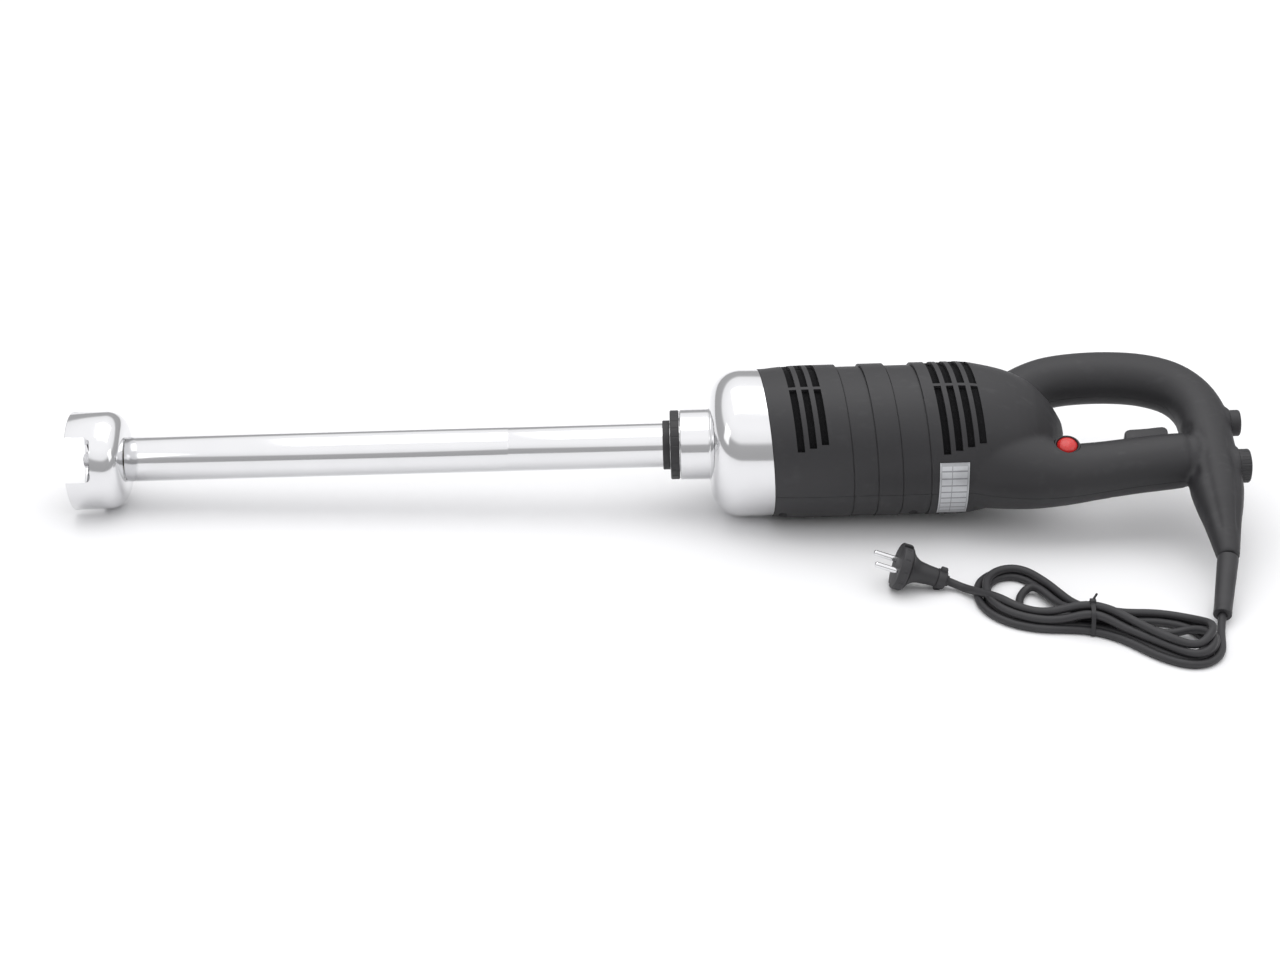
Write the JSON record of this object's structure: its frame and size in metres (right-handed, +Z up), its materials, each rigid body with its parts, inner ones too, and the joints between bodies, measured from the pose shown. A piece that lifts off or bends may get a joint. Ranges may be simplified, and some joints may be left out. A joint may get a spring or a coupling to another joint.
{
  "type": "immersion blender",
  "caption": "Heavy-duty stick blender with a detachable steel shaft, notched blade bell, vented black motor housing, closed loop handle and a mains lead folded in a hank with its plug.",
  "frame": {"origin": "on the floor under the middle of the tool's own box, the lead and plug left out", "axes": "+Z up from the floor; +X along the lying tool from the bell to the handle; +Y away from the mains lead"},
  "size_m": [0.9788, 0.3433, 0.1315],
  "materials": {
    "steel": "polished stainless steel, bright",
    "dark_steel": "plain machined steel",
    "alloy": "die-cast, satin",
    "black_plastic": "moulded, fine texture, satin",
    "red_plastic": "glossy red",
    "rubber": "soft black PVC",
    "brass": "satin",
    "copper": "varnished winding wire",
    "carbon": "graphite",
    "label": "silver foil",
    "board": "green laminate"
  },
  "bodies": {
    "motor_unit": {"motor_neck": "steel", "dome_cover": "steel", "front_bracket": "alloy", "front_bearing": "dark_steel", "stator_core": "dark_steel", "field_coil_1": "copper", "field_coil_2": "copper", "brush_holder_1": "brass", "brush_holder_2": "brass", "carbon_brush_1": "carbon", "carbon_brush_2": "carbon", "rear_bracket": "alloy", "rear_bearing": "dark_steel", "tie_bolt_1": "dark_steel", "tie_bolt_2": "dark_steel", "housing_upper": "black_plastic", "housing_lower": "black_plastic", "shell_screw_1": "dark_steel", "shell_screw_2": "dark_steel", "shell_screw_3": "dark_steel", "shell_screw_4": "dark_steel", "shell_screw_5": "dark_steel", "shell_screw_6": "dark_steel", "rating_plate": "label", "trigger_switch": "black_plastic", "button_bezel": "black_plastic", "speed_potentiometer": "dark_steel", "speed_board": "board", "filter_capacitor": "label", "cord_clamp": "black_plastic", "strain_relief": "rubber", "cord_lead": "rubber", "cord_tail": "rubber", "cord_hank": "rubber", "hank_tie": "black_plastic", "plug_body": "rubber", "plug_pin_1": "steel", "plug_pin_2": "steel"},
    "shaft_unit": {"bell_guard": "steel", "lower_bush": "brass", "shaft_seal": "rubber", "shaft_tube": "steel", "upper_bearing": "dark_steel", "tube_ring": "black_plastic", "shaft_spigot": "steel"},
    "collar": {"lock_collar": "black_plastic"},
    "shaft_rotor": {"blade": "steel", "blade_screw": "steel", "drive_shaft": "dark_steel", "shaft_socket": "dark_steel"},
    "motor_rotor": {"motor_shaft": "dark_steel", "motor_dog": "dark_steel", "cooling_fan": "black_plastic", "armature_core": "dark_steel", "armature_winding": "copper", "commutator": "brass"},
    "trigger": {"trigger": "black_plastic"},
    "safety_button": {"safety_button": "red_plastic"},
    "latch_button": {"latch_button": "black_plastic"},
    "speed_knob": {"speed_knob": "black_plastic"}
  },
  "joints": [
    {"name": "shaft_release", "type": "slide", "parent": "motor_unit", "child": "shaft_unit", "axis": [-0.9993, 0, -0.0372], "range_m": [0, 0.08]},
    {"name": "collar_turn", "type": "hinge", "parent": "shaft_unit", "child": "collar", "pos_m": [0.01482, 0.05336, 0.05953], "axis": [0.9993, 0, 0.0372], "range_deg": [0, 60]},
    {"name": "blade_spin", "type": "hinge", "parent": "shaft_unit", "child": "shaft_rotor", "pos_m": [-0.238, 0.05336, 0.05013], "axis": [0.9993, 0, 0.0372], "continuous": true},
    {"name": "motor_spin", "type": "hinge", "parent": "motor_unit", "child": "motor_rotor", "pos_m": [0.11176, 0.05336, 0.06314], "axis": [0.9993, 0, 0.0372], "continuous": true},
    {"name": "trigger_press", "type": "slide", "parent": "motor_unit", "child": "trigger", "axis": [0.0127, -0.9397, -0.3418], "range_m": [0, 0.0045], "stiffness_N_per_m": 900, "springref_m": -0.002},
    {"name": "unlock_press", "type": "slide", "parent": "motor_unit", "child": "safety_button", "axis": [0.0349, 0.342, -0.939], "range_m": [0, 0.003], "stiffness_N_per_m": 700, "springref_m": -0.002},
    {"name": "latch_press", "type": "slide", "parent": "motor_unit", "child": "latch_button", "axis": [-0.9993, 0, -0.0372], "range_m": [0, 0.004], "stiffness_N_per_m": 700, "springref_m": -0.002},
    {"name": "speed_turn", "type": "hinge", "parent": "motor_unit", "child": "speed_knob", "pos_m": [0.48202, 0.01483, 0.06287], "axis": [0.9993, 0, 0.0372], "range_deg": [0, 270]}
  ],
  "couplings": [
    {"joint": "blade_spin", "follows": "motor_spin", "ratio": 1}
  ]
}
